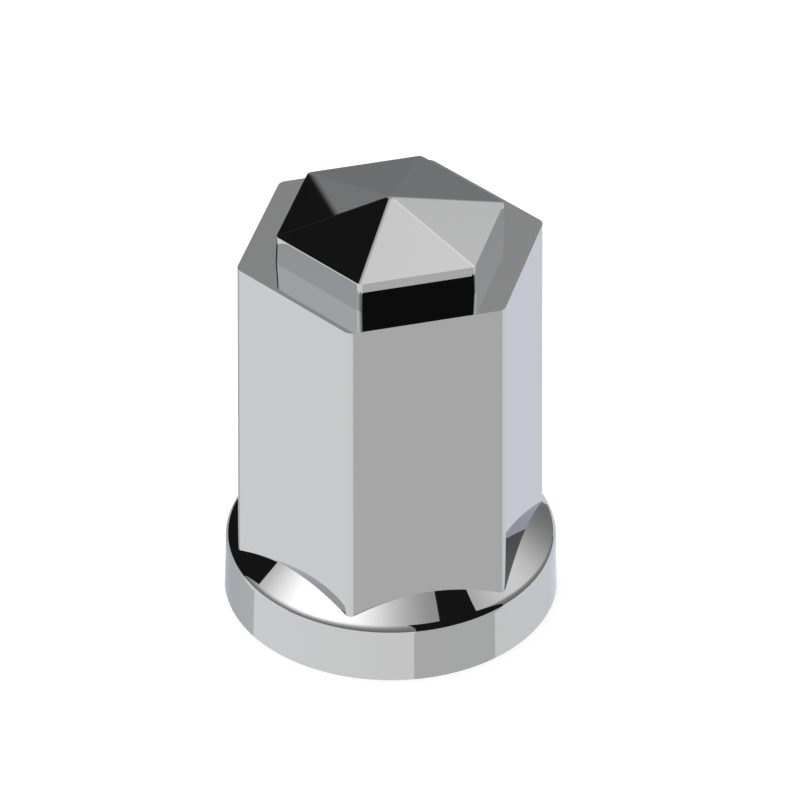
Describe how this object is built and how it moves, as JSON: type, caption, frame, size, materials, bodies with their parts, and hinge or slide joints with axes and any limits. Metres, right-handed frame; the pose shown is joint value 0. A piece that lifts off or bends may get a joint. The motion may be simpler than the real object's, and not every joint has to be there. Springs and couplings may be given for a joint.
{
  "type": "wheel nut cover cap",
  "caption": "Hollow hexagonal push-on cap on a round skirt, with a flat ledge and a low pointed top, that covers a wheel nut.",
  "frame": {"origin": "where the cap's axis meets the plane of the skirt's flat lower face", "axes": "+Z along the cap's axis from the open skirt to the pointed top, X through two corners of the hexagon, Y square to two of its flats"},
  "size_m": [0.0506, 0.0506, 0.07],
  "materials": {
    "chrome_plate": "bright mirror chrome plate over a moulded plastic shell"
  },
  "bodies": {
    "root": {"nut_cover_cap": "chrome_plate"}
  },
  "joints": []
}
